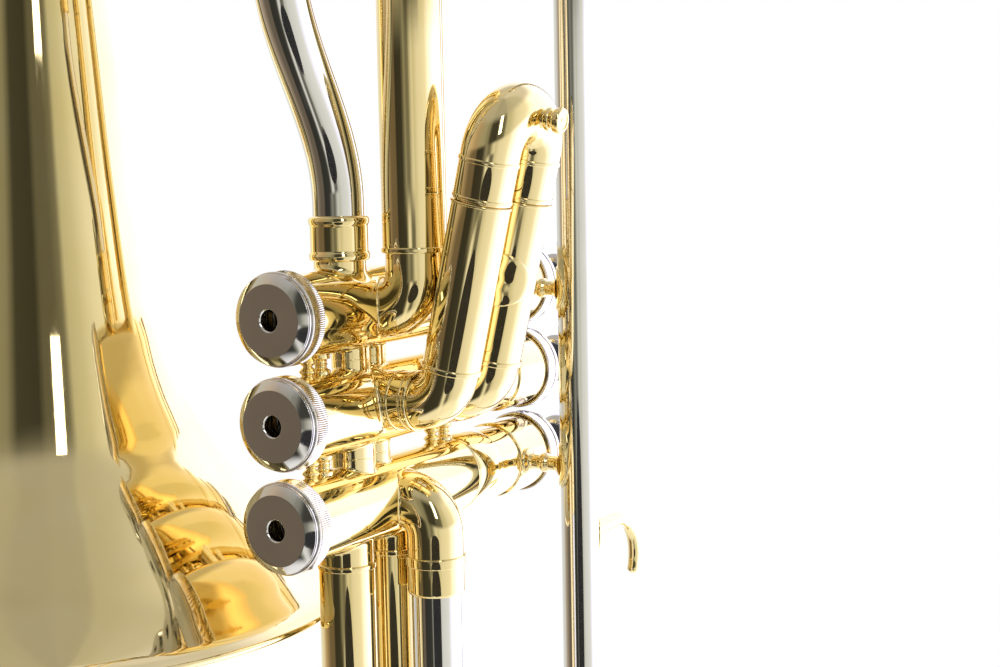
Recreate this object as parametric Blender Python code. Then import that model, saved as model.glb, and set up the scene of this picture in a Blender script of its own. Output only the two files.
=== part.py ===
"""Piston valve trombone: bell section, valve block, mouthpipe, front bow and slides.

All sizes are in millimetres in the valve block's own frame and become metres when a mesh
is made.  The block's frame has its origin at the outer face of the middle bottom cap, +X
along the valves towards the finger buttons, +Z up towards the mouthpiece end, and the bell
opens downwards.  At the end everything moves so that the origin is the centre of the box.
"""

from math import cos, pi, radians, sin

import bmesh
import bpy
from mathutils import Matrix, Vector

MM = 0.001
GAP = 0.3                      # clearance between two pieces that touch
WALL = 0.7                     # wall of the drawn tubes
ROUND, TUBE_SIDES = 20, 12      # facets round a valve and round a tube

# Valve block
VALVE_SPACING = 32.0
BORE = 11.9                    # casing bore radius
CASING = 13.1                  # casing outer radius
BALUSTER = 13.9                # outer radius of the casing's upper section
CASING_START, BALUSTER_START, CASING_END = 2.5, 127.0, 152.0
CAP_FACE, CAP_RIM, CAP_KNURL, CAP_HOLE, CAP_FLOOR = 11.05, 13.95, 14.55, 3.4, 2.2
TOP_CAP, TOP_CAP_START, TOP_CAP_END = 15.2, 147.0, 158.5
PISTON, PISTON_START, PISTON_END = 11.5, 26.0, 98.0
STEM = 3.0
BUTTON_START, BUTTON_END, BUTTON = 177.6, 184.0, 9.5

# Where each tube meets the block, as a place along the valve
NECK_X, FIRST_FRONT_X, FIRST_BACK_X = 37.2, 48.0, 84.4
SECOND_FRONT_X, SECOND_BACK_X = 47.5, 73.0
THIRD_FRONT_X, THIRD_BACK_X, RETURN_X = 36.3, 62.0, 57.0
KNUCKLE_X, POST_X = 40.0, 23.0
PORT = 6.3                     # radius of a port through a casing wall
ELBOW = 9.4                    # outer radius of the port elbows
ELBOW_BEND = 11.0

# Slides
LEG_STEP = 1.2                 # how much thinner a sliding leg is than its crook
FIRST_FRONT_Y = -21.3
FIRST_SLEEVE, FIRST_BOTTOM, FIRST_TOP = 10.2, 50.0, 152.0
SECOND_SLEEVE, SECOND_ELBOW, SECOND_TILT, SECOND_RISE = 9.3, 8.9, radians(13.4), 2.5
SECOND_ELBOW_Y, SECOND_BEND = -22.2, 12.0
SECOND_LENGTH, SECOND_LEG = 54.0, 15.6
THIRD_SLEEVE, THIRD_BOTTOM = 9.2, -150.0

# Mouthpipe, return tube and front bow
PIPE_X, PIPE_Y, PIPE = 132.0, -34.8, 6.8
RETURN_Y, RETURN, RETURN_TOP = -20.8, 8.3, -50.0
BOW_Z, BOW_LEG = -560.0, 4.0
RECEIVER, RECEIVER_Z = 8.4, 226.0
HOOK_Z, HOOK_REACH, HOOK_BEND = -57.5, 22.0, 16.0

# Bell section
NECK_TOP_X, BELL_X, BELL_Y = 10.5, 18.0, 111.0
S_BEND, S_BEND_START, S_BEND_END, S_BEND_TOP = 8.2, 66.0, 140.0, 152.0
NECK, BELL_SLEEVE, TUNING_Z = 10.0, 11.8, 430.0
BELL_RIM_Z, BELL_WALL = -70.5, 0.7
# The bell's outer radius at heights above its rim, as (height, radius)
FLARE = [(0, 101.6), (4, 94.6), (12, 86.4), (25.5, 76.8), (39.5, 67.3), (61.5, 52.5),
         (91.5, 41.5), (141.5, 34.5), (206.5, 28.5), (301.5, 19.5), (411.5, 12.5)]
BELL_STAY_Z, NECK_STAY_Z, PIPE_STAY_Z = 240.0, 244.0, -330.0

LACQUER = ("lacquered_brass", (0.83, 0.62, 0.25), 0.12, 1.0)
NICKEL = ("nickel_silver", (0.72, 0.72, 0.71), 0.1, 1.0)
STEEL = ("spring_steel", (0.55, 0.56, 0.58), 0.3, 1.0)
PEARL = ("pearl_button", (0.86, 0.85, 0.82), 0.25, 0.0)
FELT = ("felt", (0.12, 0.12, 0.13), 0.95, 0.0)
CORK = ("cork", (0.55, 0.38, 0.22), 0.9, 0.0)

X, Y, Z = Vector((1, 0, 0)), Vector((0, 1, 0)), Vector((0, 0, 1))


def clear_scene():
    for item in list(bpy.data.objects):
        bpy.data.objects.remove(item, do_unlink=True)


def material(kind):
    name, colour, roughness, metallic = kind
    if name in bpy.data.materials:
        return bpy.data.materials[name]
    made = bpy.data.materials.new(name)
    made.use_nodes = True
    shader = made.node_tree.nodes["Principled BSDF"]
    shader.inputs["Base Color"].default_value = (*colour, 1)
    shader.inputs["Roughness"].default_value = roughness
    shader.inputs["Metallic"].default_value = metallic
    return made


def finish_mesh(name, bm, kind, origin=None):
    """Turn a bmesh in millimetres into a named object in metres, with its origin at origin."""
    origin = Vector(origin) if origin else Vector()
    bmesh.ops.translate(bm, verts=bm.verts, vec=-origin)
    bmesh.ops.scale(bm, verts=bm.verts, vec=(MM, MM, MM))
    bmesh.ops.recalc_face_normals(bm, faces=bm.faces)
    mesh = bpy.data.meshes.new(name)
    bm.to_mesh(mesh)
    bm.free()
    mesh.shade_smooth()
    mesh.set_sharp_from_angle(angle=radians(35))
    mesh.materials.append(material(kind))
    made = bpy.data.objects.new(name, mesh)
    made.location = origin * MM
    bpy.context.collection.objects.link(made)
    return made


def across(direction):
    """Two unit vectors square to a direction."""
    helper = X if abs(direction.x) < 0.9 else Y
    first = direction.cross(helper).normalized()
    return first, direction.cross(first).normalized()


def ring(bm, centre, first, second, radius, sides):
    if radius == 0:
        return [bm.verts.new(centre)] * sides
    turns = [2 * pi * (i + 0.5) / sides for i in range(sides)]
    return [bm.verts.new(centre + radius * (cos(a) * first + sin(a) * second)) for a in turns]


def skin(bm, low, high):
    """Join two rings with faces."""
    for i in range(len(low)):
        j = (i + 1) % len(low)
        corners = []
        for corner in (low[i], low[j], high[j], high[i]):
            if corner not in corners:
                corners.append(corner)
        if len(corners) > 2:
            bm.faces.new(corners)


def turned(name, kind, start, direction, outline, sides=ROUND, origin=None):
    """Revolve an outline of (distance along, radius) points about a line.

    An outline that starts and ends on the line is a solid; any other outline is closed
    from its last point back to its first, and makes a ring.
    """
    bm = bmesh.new()
    start, direction = Vector(start), Vector(direction).normalized()
    first, second = across(direction)
    rings = [ring(bm, start + direction * along, first, second, r, sides) for along, r in outline]
    for low, high in zip(rings, rings[1:]):
        skin(bm, low, high)
    if outline[0][1] > 0:
        skin(bm, rings[-1], rings[0])
    return finish_mesh(name, bm, kind, origin)


def tube(name, kind, path, outer, wall=0.0, sides=TUBE_SIDES, origin=None):
    """Sweep a round tube, or a rod when wall is 0, along a path.

    outer is the outer radius, or a list with the radius at each point of the path.
    """
    bm = bmesh.new()
    path = [Vector(p) for p in path]
    count = len(path)
    radii = outer if isinstance(outer, list) else [outer] * count
    steps = [b - a for a, b in zip(path, path[1:])]
    first, second = across(steps[0].normalized())
    last_direction = steps[0].normalized()
    outside, inside = [], []
    for i, point in enumerate(path):
        before, after = steps[max(i - 1, 0)].normalized(), steps[min(i, count - 2)].normalized()
        direction = (before + after).normalized()
        turn = last_direction.rotation_difference(direction)
        first, second, last_direction = turn @ first, turn @ second, direction
        outside.append(ring(bm, point, first, second, radii[i], sides))
        if wall:
            inside.append(ring(bm, point, first, second, radii[i] - wall, sides))
    for rings in (outside, inside):
        for low, high in zip(rings, rings[1:]):
            skin(bm, low, high)
    for k in (0, -1):
        if wall:
            skin(bm, outside[k], inside[k])
        else:
            bm.faces.new(outside[k])
    return finish_mesh(name, bm, kind, origin)


def bend(centre, arm, axis, angle, steps):
    """Points of an arc that starts at centre + arm and turns about axis, angle in radians."""
    centre, arm = Vector(centre), Vector(arm)
    return [centre + Matrix.Rotation(angle * i / steps, 3, axis) @ arm for i in range(steps + 1)]


def with_rod(target, start, end, radius, operation, sides=ROUND):
    """Take a round rod, from start to end, out of a piece, or join it to the piece."""
    rod = tube(target.name + "_rod", LACQUER, (start, end), radius, sides=sides)
    rod.hide_render = True
    rod.display_type = "WIRE"
    change = target.modifiers.new("rod", "BOOLEAN")
    change.operation = operation
    change.object = rod
    return target


def cut(target, start, end, radius, sides=ROUND):
    return with_rod(target, start, end, radius, "DIFFERENCE", sides)


def fit_to_casing(target, valve):
    """Shape a piece's end to the outside of a casing, with a small gap."""
    height = valve_height(valve)
    return cut(target, (0, 0, height), (CASING_END, 0, height), CASING + GAP)


def valve_height(valve):
    return VALVE_SPACING * (2 - valve)


# ---------------------------------------------------------------- valve block

PORTS = {
    1: [(NECK_X, Z), (FIRST_BACK_X, Z), (FIRST_FRONT_X, -Y), (KNUCKLE_X, -Z)],
    2: [(KNUCKLE_X, Z), (SECOND_FRONT_X, -Y), (SECOND_BACK_X, -Y), (KNUCKLE_X, -Z)],
    3: [(KNUCKLE_X, Z), (RETURN_X, -Y), (THIRD_FRONT_X, -Z), (THIRD_BACK_X, -Z)],
}


def valve_casing(valve):
    height = valve_height(valve)
    outline = [
        (CASING_START, CASING), (BALUSTER_START, CASING), (BALUSTER_START, BALUSTER),
        (CASING_END, BALUSTER), (CASING_END, BORE), (CASING_START, BORE),
    ]
    casing = turned(f"valve_casing_{valve}", LACQUER, (0, 0, height), X, outline)
    for along, side in PORTS[valve]:
        centre = Vector((along, 0, height))
        cut(casing, centre + side * 6, centre + side * 20, PORT, sides=10)


def bottom_cap(valve):
    outline = [
        (0, CAP_HOLE), (0, CAP_FACE), (1.9, CAP_RIM), (2.6, CAP_RIM - 0.3), (3.2, CAP_KNURL),
        (9.5, CAP_KNURL), (9.5, CASING + GAP), (CAP_FLOOR, CASING + GAP),
        (CAP_FLOOR, CAP_HOLE),
    ]
    turned(f"bottom_cap_{valve}", NICKEL, (0, 0, valve_height(valve)), X, outline)


def top_cap(valve):
    inside, hole = BALUSTER + GAP, STEM + 1
    outline = [
        (TOP_CAP_START, inside), (TOP_CAP_START, TOP_CAP), (155, TOP_CAP), (157, 13),
        (TOP_CAP_END, 7), (TOP_CAP_END, hole), (CASING_END + GAP, hole),
        (CASING_END + GAP, inside),
    ]
    turned(f"top_cap_{valve}", NICKEL, (0, 0, valve_height(valve)), X, outline)


def piston(valve):
    """A piston with its stem, and three straight passages that cross it at different angles."""
    height = valve_height(valve)
    outline = [
        (PISTON_START, 0), (PISTON_START, PISTON), (PISTON_END, PISTON), (PISTON_END, STEM),
        (BUTTON_START - GAP, STEM), (BUTTON_START - GAP, 0),
    ]
    made = turned(f"piston_{valve}", STEEL, (0, 0, height), X, outline,
                  origin=(PISTON_START, 0, height))
    for k, angle in enumerate((20, 80, 140)):
        centre = Vector((42 + 20 * k, 0, height))
        across_piston = Vector((0.15, cos(radians(angle)), sin(radians(angle)))) * 16
        cut(made, centre - across_piston, centre + across_piston, PORT - GAP, sides=8)


def valve_action(valve):
    """The return spring, the felt and the finger button."""
    height = valve_height(valve)
    base = (0, 0, height)
    felt = [(BUTTON_START - 2.3, STEM + GAP), (BUTTON_START - 2.3, 6.5),
            (BUTTON_START - GAP, 6.5), (BUTTON_START - GAP, STEM + GAP)]
    turned(f"button_felt_{valve}", FELT, base, X, felt, 12)
    button = [
        (BUTTON_START, 0), (BUTTON_START, BUTTON - 1.5), (BUTTON_START + 2, BUTTON),
        (BUTTON_START + 4.5, BUTTON), (BUTTON_END, BUTTON - 2), (BUTTON_END, 0),
    ]
    turned(f"finger_button_{valve}", PEARL, base, X, button, 16, origin=(BUTTON_START, 0, height))
    spring(valve, height)


def spring(valve, height, turns=4.5, per_turn=7, wire=0.6, radius=8.0):
    """The coil under the piston, which stands on the inside of the bottom cap."""
    start, end = CAP_FLOOR + wire + GAP, PISTON_START - wire - GAP
    count = int(turns * per_turn)
    coil = []
    for i in range(count + 1):
        angle = 2 * pi * i / per_turn
        along = start + (end - start) * i / count
        coil.append((along, radius * cos(angle), height + radius * sin(angle)))
    tube(f"valve_spring_{valve}", STEEL, coil, wire, sides=4)


def knuckle(upper, lower):
    """The passage tube between two casings, and the turned post beside it."""
    top, bottom = valve_height(upper), valve_height(lower)
    name = f"{upper}{lower}"
    ends = ((KNUCKLE_X, 0, bottom + 9), (KNUCKLE_X, 0, top - 9))
    passage = tube(f"knuckle_{name}", LACQUER, ends, PORT + 1, 1)
    fit_to_casing(fit_to_casing(passage, upper), lower)
    gap = top - bottom - 2 * CASING - 2 * GAP
    outline = [(0, 0), (0, 2.0), (0.25 * gap, 3.1), (0.5 * gap, 2.2), (0.75 * gap, 3.1),
               (gap, 2.0), (gap, 0)]
    turned(f"casing_post_{name}", LACQUER, (POST_X, 0, bottom + CASING + GAP), Z, outline, 8)


# ---------------------------------------------------------------- slides

def port_elbow(name, x, y, valve, end_z, wall=WALL):
    """An elbow that leaves a casing towards -Y and turns up or down to end_z."""
    height = valve_height(valve)
    way = 1 if end_z > height else -1
    start_y = y + ELBOW_BEND
    centre = (x, start_y, height + way * ELBOW_BEND)
    path = [Vector((x, -6, height))]
    path += bend(centre, (0, 0, -way * ELBOW_BEND), X, -way * pi / 2, 4)
    path.append(Vector((x, y, end_z)))
    return fit_to_casing(tube(name, LACQUER, path, ELBOW, wall), valve)


def sleeve(name, start, end, radius, wall=0.8):
    """A slide's outer sleeve, with a raised ring at its mouth."""
    start, end = Vector(start), Vector(end)
    length = (end - start).length
    outline = [(0, radius), (length - 2.0, radius), (length - 2.0, radius + 0.4),
               (length, radius + 0.4), (length, radius - wall), (0, radius - wall)]
    return turned(name, LACQUER, start, end - start, outline, TUBE_SIDES)


def slide_bow(name, front, back, direction, radii, join, depth, steps=7):
    """The sliding half of a slide: a crook whose two thinner legs sit in the sleeves.

    front and back are the mouths of the sleeves, radii the crook's outer radius at each,
    join how far the crook's straight ends run beyond the mouths, and depth how deep the
    legs sit.
    """
    front, back, direction = Vector(front), Vector(back), Vector(direction).normalized()
    half = (back - front) / 2
    centre = (front + back) / 2 + direction * join
    axis = half.normalized().cross(direction)
    arc = bend(centre, -half, axis, -pi, steps)
    path = [front - direction * depth, front, front + direction * GAP, *arc,
            back + direction * GAP, back, back - direction * depth]
    crook = [radii[0] + (radii[1] - radii[0]) * i / steps for i in range(steps + 1)]
    legs = [radius - LEG_STEP for radius in radii]
    outer = [legs[0]] * 2 + [radii[0]] + crook + [radii[1]] + [legs[1]] * 2
    tube(name, LACQUER, path, outer, WALL, origin=front)
    return centre + direction * half.length


def first_slide():
    port_elbow("first_slide_elbow", FIRST_FRONT_X, FIRST_FRONT_Y, 1, FIRST_BOTTOM - GAP)
    front = Vector((FIRST_FRONT_X, FIRST_FRONT_Y, 0))
    back = Vector((FIRST_BACK_X, 0, 0))
    sleeve("first_slide_sleeve_front", front + Z * FIRST_BOTTOM, front + Z * FIRST_TOP, FIRST_SLEEVE)
    lower = back + Z * (valve_height(1) + 8)
    fit_to_casing(sleeve("first_slide_sleeve_back", lower, back + Z * FIRST_TOP, FIRST_SLEEVE), 1)
    mouths = front + Z * FIRST_TOP, back + Z * FIRST_TOP
    slide_bow("first_slide_bow", *mouths, Z, (FIRST_SLEEVE, FIRST_SLEEVE), 10, 60)


def second_direction():
    return Vector((0, -sin(SECOND_TILT), cos(SECOND_TILT)))


def second_foot(x):
    """Where a second-slide sleeve starts, at the end of its elbow."""
    turn = pi / 2 - SECOND_TILT
    end_of_bend = Vector((x, SECOND_ELBOW_Y - SECOND_BEND * sin(turn),
                          SECOND_RISE + SECOND_BEND * (1 - cos(turn))))
    return end_of_bend + second_direction()


def second_slide():
    way = second_direction()
    for side, x in (("front", SECOND_FRONT_X), ("back", SECOND_BACK_X)):
        centre = (x, SECOND_ELBOW_Y, SECOND_RISE + SECOND_BEND)
        path = [Vector((x, -6, SECOND_RISE))]
        path += bend(centre, (0, 0, -SECOND_BEND), X, -(pi / 2 - SECOND_TILT), 4)
        path.append(second_foot(x))
        elbow = tube(f"second_slide_elbow_{side}", LACQUER, path, SECOND_ELBOW, WALL)
        fit_to_casing(elbow, 2)
        foot = second_foot(x) + way * GAP
        sleeve(f"second_slide_sleeve_{side}", foot, foot + way * SECOND_LENGTH, SECOND_SLEEVE)
    tops = [second_foot(x) + way * (GAP + SECOND_LENGTH) for x in (SECOND_FRONT_X, SECOND_BACK_X)]
    radii = (SECOND_SLEEVE, SECOND_SLEEVE)
    crown = slide_bow("second_slide_bow", *tops, way, radii, SECOND_LEG, 40)
    knob(crown)


def knob(crown):
    """The turned pull knob that stands on the second slide's crook."""
    outline = [(0, 0), (0, 2.6), (0.6, 2.6), (0.9, 3.9), (2.3, 3.9), (2.7, 2.5), (3.2, 2.5),
               (3.6, 4.3), (6.3, 4.3), (6.3, 0)]
    turned("second_slide_knob", LACQUER, crown - Y * (SECOND_SLEEVE + GAP), -Y, outline, 10)


def third_slide():
    for side, x in (("front", THIRD_FRONT_X), ("back", THIRD_BACK_X)):
        upper = Vector((x, 0, valve_height(3) - 8))
        lower = Vector((x, 0, THIRD_BOTTOM))
        fit_to_casing(sleeve(f"third_slide_sleeve_{side}", upper, lower, THIRD_SLEEVE), 3)
    feet = [Vector((x, 0, THIRD_BOTTOM)) for x in (THIRD_FRONT_X, THIRD_BACK_X)]
    slide_bow("third_slide_bow", *feet, -Z, (THIRD_SLEEVE, THIRD_SLEEVE), 80, 70)


# ---------------------------------------------------------------- mouthpipe and front bow

def return_line():
    """The elbow on the third valve and the long tube that comes up to it from the front bow."""
    port_elbow("return_elbow", RETURN_X, RETURN_Y, 3, RETURN_TOP - 12, ELBOW - RETURN - GAP)
    ends = ((RETURN_X, RETURN_Y, RETURN_TOP), (RETURN_X, RETURN_Y, BOW_Z + GAP))
    tube("return_tube", NICKEL, ends, RETURN, WALL)


def mouthpipe():
    ends = ((PIPE_X, PIPE_Y, RECEIVER_Z + 4), (PIPE_X, PIPE_Y, BOW_Z + GAP))
    tube("mouthpipe", NICKEL, ends, PIPE, WALL)
    receiver = [(0, PIPE + GAP), (0, RECEIVER), (28, RECEIVER), (29, RECEIVER + 1),
                (33, RECEIVER + 1), (33, PIPE + GAP)]
    turned("mouthpiece_receiver", LACQUER, (PIPE_X, PIPE_Y, RECEIVER_Z), Z, receiver, TUBE_SIDES)
    bottom = RECEIVER_Z + 5
    mouthpiece = [
        (0, 3.4), (0, 5.4), (30, 6.4), (46, 8.5), (56, 13.5), (72, 16.0), (75, 19.4), (78, 19.4),
        (80, 16.5), (79, 12.9), (66, 10.5), (54, 3.4),
    ]
    turned("mouthpiece", NICKEL, (PIPE_X, PIPE_Y, bottom), Z, mouthpiece, 16,
           origin=(PIPE_X, PIPE_Y, bottom))


def front_bow():
    start, end = Vector((PIPE_X, PIPE_Y, BOW_Z)), Vector((RETURN_X, RETURN_Y, BOW_Z))
    arm = (start - end) / 2
    centre = (start + end) / 2 - Z * BOW_LEG
    axis = Z.cross(arm.normalized())
    steps = 10
    path = [start, *bend(centre, arm, axis, pi, steps), end]
    radii = [PIPE + (RETURN - PIPE) * i / (steps + 2) for i in range(steps + 3)]
    tube("front_bow", LACQUER, path, radii, WALL)
    water_key(centre - Z * arm.length, arm.normalized(), axis)


def water_key(bottom, along, side):
    """A sprung lever that presses a cork on the drain nipple at the bottom of the bow."""
    side = side if side.y < 0 else -side
    surface = (PIPE + RETURN) / 2 + GAP
    height, pad, rod, arm, reach = 4.0, 2.4, 1.4, 16, 38
    nipple = [(0, 1.6), (0, 3.6), (height, 3.6), (height, 1.6)]
    turned("water_key_nipple", LACQUER, bottom + side * surface, side, nipple, 10)
    face = surface + height + GAP
    cork = [(0, 0), (0, 4.4), (pad, 4.4), (pad, 0)]
    turned("water_key_cork", CORK, bottom + side * face, side, cork, 10)
    line = face + pad + GAP + rod
    pivot = bottom + along * arm + side * line
    path = (bottom - along * 4 + side * line, pivot, bottom + along * 24 + side * line,
            bottom + along * reach + side * (line + 3))
    lever = tube("water_key_lever", LACQUER, path, rod, sides=8, origin=pivot)
    ear, wire, pin = 3.7, 1.7, 0.7
    with_rod(lever, pivot - Z * (ear + wire), pivot + Z * (ear + wire), pin, "UNION", 12)
    low = bottom + along * arm + side * (surface + wire + GAP)
    tip = pivot + side * wire
    fork = (tip - Z * ear, low - Z * ear, low + Z * ear, tip + Z * ear)
    cut(tube("water_key_fork", LACQUER, fork, wire, sides=6), pivot - Z * 9, pivot + Z * 9, pin + GAP, 12)


# ---------------------------------------------------------------- bell section

def bell_radius(z):
    """Outer radius of the bell at a height, between the two stations beside it."""
    above = z - BELL_RIM_Z
    for (low, wide), (high, narrow) in zip(FLARE, FLARE[1:]):
        if above <= high:
            return wide + (narrow - wide) * (above - low) / (high - low)
    return FLARE[-1][1]


def bell():
    """The flared bell, with a wired rim that ends in a flat ring, and its slide sleeve."""
    rim = FLARE[0][1]
    lip = [(-1.2, rim - 2.4), (-1.2, rim + 0.2), (1.4, rim + 0.2), (1.4, rim - 1.4)]
    inside = [(height, radius - BELL_WALL) for height, radius in reversed(FLARE[1:])]
    top = TUNING_Z - BELL_RIM_Z
    tail = [(top, BELL_SLEEVE + 0.4), (top, BELL_SLEEVE - 0.8)]
    outline = lip + FLARE[1:] + tail + inside
    turned("bell", LACQUER, (BELL_X, BELL_Y, BELL_RIM_Z), Z, outline, 28)


def neck_line():
    """The port on the first valve, the S-shaped tube and the straight neckpipe."""
    top = valve_height(1)
    port = [(8, 8.3), (16, 8.3), (16, 9.2), (30, 9.2), (30, S_BEND + GAP), (18.5, S_BEND + GAP),
            (18.5, 7.2), (8, 7.2)]
    fit_to_casing(turned("neck_port", LACQUER, (NECK_X, 0, top), Z, port, TUBE_SIDES), 1)
    low = top + 19
    path = [Vector((NECK_X, 0, low))]
    steps = 6
    for i in range(steps + 1):
        share = i / steps
        sway = (1 - cos(pi * share)) / 2
        path.append(Vector((NECK_X + (NECK_TOP_X - NECK_X) * sway, 0,
                            S_BEND_START + (S_BEND_END - S_BEND_START) * share)))
    path.append(Vector((NECK_TOP_X, 0, S_BEND_TOP)))
    tube("s_bend", NICKEL, path, S_BEND, WALL)
    start = S_BEND_TOP - 4
    length = TUNING_Z - start
    neck = [(0, S_BEND + GAP), (0, NECK), (length, NECK), (length, NECK - 0.8), (5, NECK - 0.8),
            (5, S_BEND + GAP)]
    turned("neckpipe", LACQUER, (NECK_TOP_X, 0, start), Z, neck, TUBE_SIDES)


def tuning_slide():
    neck, tail = Vector((NECK_TOP_X, 0, TUNING_Z)), Vector((BELL_X, BELL_Y, TUNING_Z))
    slide_bow("tuning_slide_bow", neck, tail, Z, (NECK, BELL_SLEEVE), 12, 75, steps=10)
    stay("tuning_slide_stay", neck + Z * 8, tail + Z * 8, NECK, BELL_SLEEVE)


def stay(name, start, end, start_radius, end_radius):
    """A turned cross brace between two tubes, with a flange at each end and a middle bead."""
    way = (end - start).normalized()
    length = (end - start).length - start_radius - end_radius - 4 * GAP
    middle = length / 2
    half = [(0, 0), (0, 5.5), (1.2, 5.5), (2, 2.4), (middle - 3, 2.4), (middle - 1.5, 3.4)]
    outline = half + [(length - along, radius) for along, radius in reversed(half)]
    return turned(name, LACQUER, start + way * (start_radius + 2 * GAP), way, outline, 10)


def stays():
    neck, pipe = Vector((NECK_TOP_X, 0, 0)), Vector((PIPE_X, PIPE_Y, 0))
    tail, back = Vector((BELL_X, BELL_Y, 0)), Vector((RETURN_X, RETURN_Y, 0))
    up = Z * BELL_STAY_Z
    stay("bell_stay", neck + up, tail + up, NECK, bell_radius(BELL_STAY_Z - 6))
    stay("neck_stay", neck + Z * NECK_STAY_Z, pipe + Z * NECK_STAY_Z, NECK, RECEIVER)
    stay("pipe_stay", pipe + Z * PIPE_STAY_Z, back + Z * PIPE_STAY_Z, PIPE, RETURN)
    gap = 2 * GAP
    for valve in (1, 3):
        reach = -PIPE_Y - PIPE - gap - BALUSTER - gap
        outline = [(0, 0), (0, 4.6), (1, 4.6), (2, 2.6), (reach - 2, 2.6), (reach - 1, 7), (reach, 7),
                   (reach, 0)]
        start = (PIPE_X, -BALUSTER - gap, valve_height(valve))
        turned(f"mouthpipe_post_{valve}", LACQUER, start, -Y, outline, 10)


def finger_hook():
    """A hook for the little finger, which reaches from the mouthpipe towards the buttons."""
    root = Vector((PIPE_X + PIPE + GAP, PIPE_Y, HOOK_Z))
    turn = root + X * HOOK_REACH
    path = [root, *bend(turn - Z * HOOK_BEND, Z * HOOK_BEND, Y, radians(115), 6)]
    tube("finger_hook", LACQUER, path, 2.4, sides=8)


def recentre():
    """Put the origin at the centre of the whole object's box."""
    bpy.context.view_layer.update()
    pieces = [o for o in bpy.data.objects if o.type == "MESH"]
    solid = [o for o in pieces if not o.hide_render]
    corners = [o.matrix_world @ Vector(c) for o in solid for c in o.bound_box]
    low = Vector([min(c[i] for c in corners) for i in range(3)])
    high = Vector([max(c[i] for c in corners) for i in range(3)])
    for piece in pieces:
        piece.location -= (low + high) / 2


def build():
    clear_scene()
    for valve in (1, 2, 3):
        valve_casing(valve)
        bottom_cap(valve)
        top_cap(valve)
        piston(valve)
        valve_action(valve)
    knuckle(1, 2)
    knuckle(2, 3)
    first_slide()
    second_slide()
    third_slide()
    return_line()
    mouthpipe()
    front_bow()
    bell()
    neck_line()
    tuning_slide()
    stays()
    finger_hook()
    recentre()


build()
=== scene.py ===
"""Looks of the piston valve trombone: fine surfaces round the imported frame, materials and light.

Shapes are built in millimetres in the valve block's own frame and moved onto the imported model
at the end.  That frame has its origin at the middle of the second bottom cap's outer face, +X
along the valves towards the finger buttons and +Z up; the bell opens downwards.
"""

from math import cos, pi, radians, sin, sqrt

import bmesh
import bpy
from mathutils import Matrix, Vector


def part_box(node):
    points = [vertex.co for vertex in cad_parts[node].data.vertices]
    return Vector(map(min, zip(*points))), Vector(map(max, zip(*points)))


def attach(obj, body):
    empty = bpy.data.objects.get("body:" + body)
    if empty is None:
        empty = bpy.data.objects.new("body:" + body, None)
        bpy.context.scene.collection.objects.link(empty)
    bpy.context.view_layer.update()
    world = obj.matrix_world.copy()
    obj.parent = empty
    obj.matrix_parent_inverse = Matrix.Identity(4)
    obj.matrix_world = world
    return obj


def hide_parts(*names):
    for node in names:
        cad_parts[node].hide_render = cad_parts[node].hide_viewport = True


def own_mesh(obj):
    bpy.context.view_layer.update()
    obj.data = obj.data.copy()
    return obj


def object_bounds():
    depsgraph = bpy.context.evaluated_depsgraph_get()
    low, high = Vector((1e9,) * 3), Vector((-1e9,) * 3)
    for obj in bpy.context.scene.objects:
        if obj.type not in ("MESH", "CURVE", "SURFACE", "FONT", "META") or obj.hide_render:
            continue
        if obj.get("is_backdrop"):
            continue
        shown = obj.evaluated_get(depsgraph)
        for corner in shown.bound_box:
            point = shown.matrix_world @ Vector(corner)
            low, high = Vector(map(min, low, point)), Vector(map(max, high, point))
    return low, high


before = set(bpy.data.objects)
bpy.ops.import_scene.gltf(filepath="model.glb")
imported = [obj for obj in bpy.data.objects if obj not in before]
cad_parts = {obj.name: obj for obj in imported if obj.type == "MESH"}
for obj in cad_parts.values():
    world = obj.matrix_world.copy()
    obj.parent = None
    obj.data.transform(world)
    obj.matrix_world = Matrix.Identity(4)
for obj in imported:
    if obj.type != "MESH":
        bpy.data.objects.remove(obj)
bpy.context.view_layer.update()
MM = 0.001
X, Y, Z = Vector((1, 0, 0)), Vector((0, 1, 0)), Vector((0, 0, 1))
CAP_LOW, CAP_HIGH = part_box("bottom_cap_2")
ORIGIN = Vector((CAP_LOW.x, (CAP_LOW.y + CAP_HIGH.y) / 2, (CAP_LOW.z + CAP_HIGH.z) / 2))


def spot(node):
    """Low corner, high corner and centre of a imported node, in millimetres in the block's frame."""
    low, high = [(corner - ORIGIN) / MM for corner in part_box(node)]
    return low, high, (low + high) / 2


def at_height(place, height=0.0):
    """The point above or below a place, at a height in the block's frame."""
    return Vector((place.x, place.y, height))


# ---- driving dimensions

# Outer radii of the casings and tubes, and the tubes' wall
CASING, BALUSTER, BORE = 13.1, 13.9, 11.9
ELBOW, SECOND_ELBOW, SECOND_COLLAR = 9.4, 8.9, 9.35
FIRST_SLEEVE, SECOND_SLEEVE, THIRD_SLEEVE = 10.2, 9.3, 9.2
PIPE, RETURN, RECEIVER, NECK_PORT, S_BEND, NECK, BELL_SLEEVE = 6.8, 8.3, 8.2, 8.3, 8.2, 10.0, 11.8
LEG_STEP, WALL = 1.2, 0.7

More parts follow.
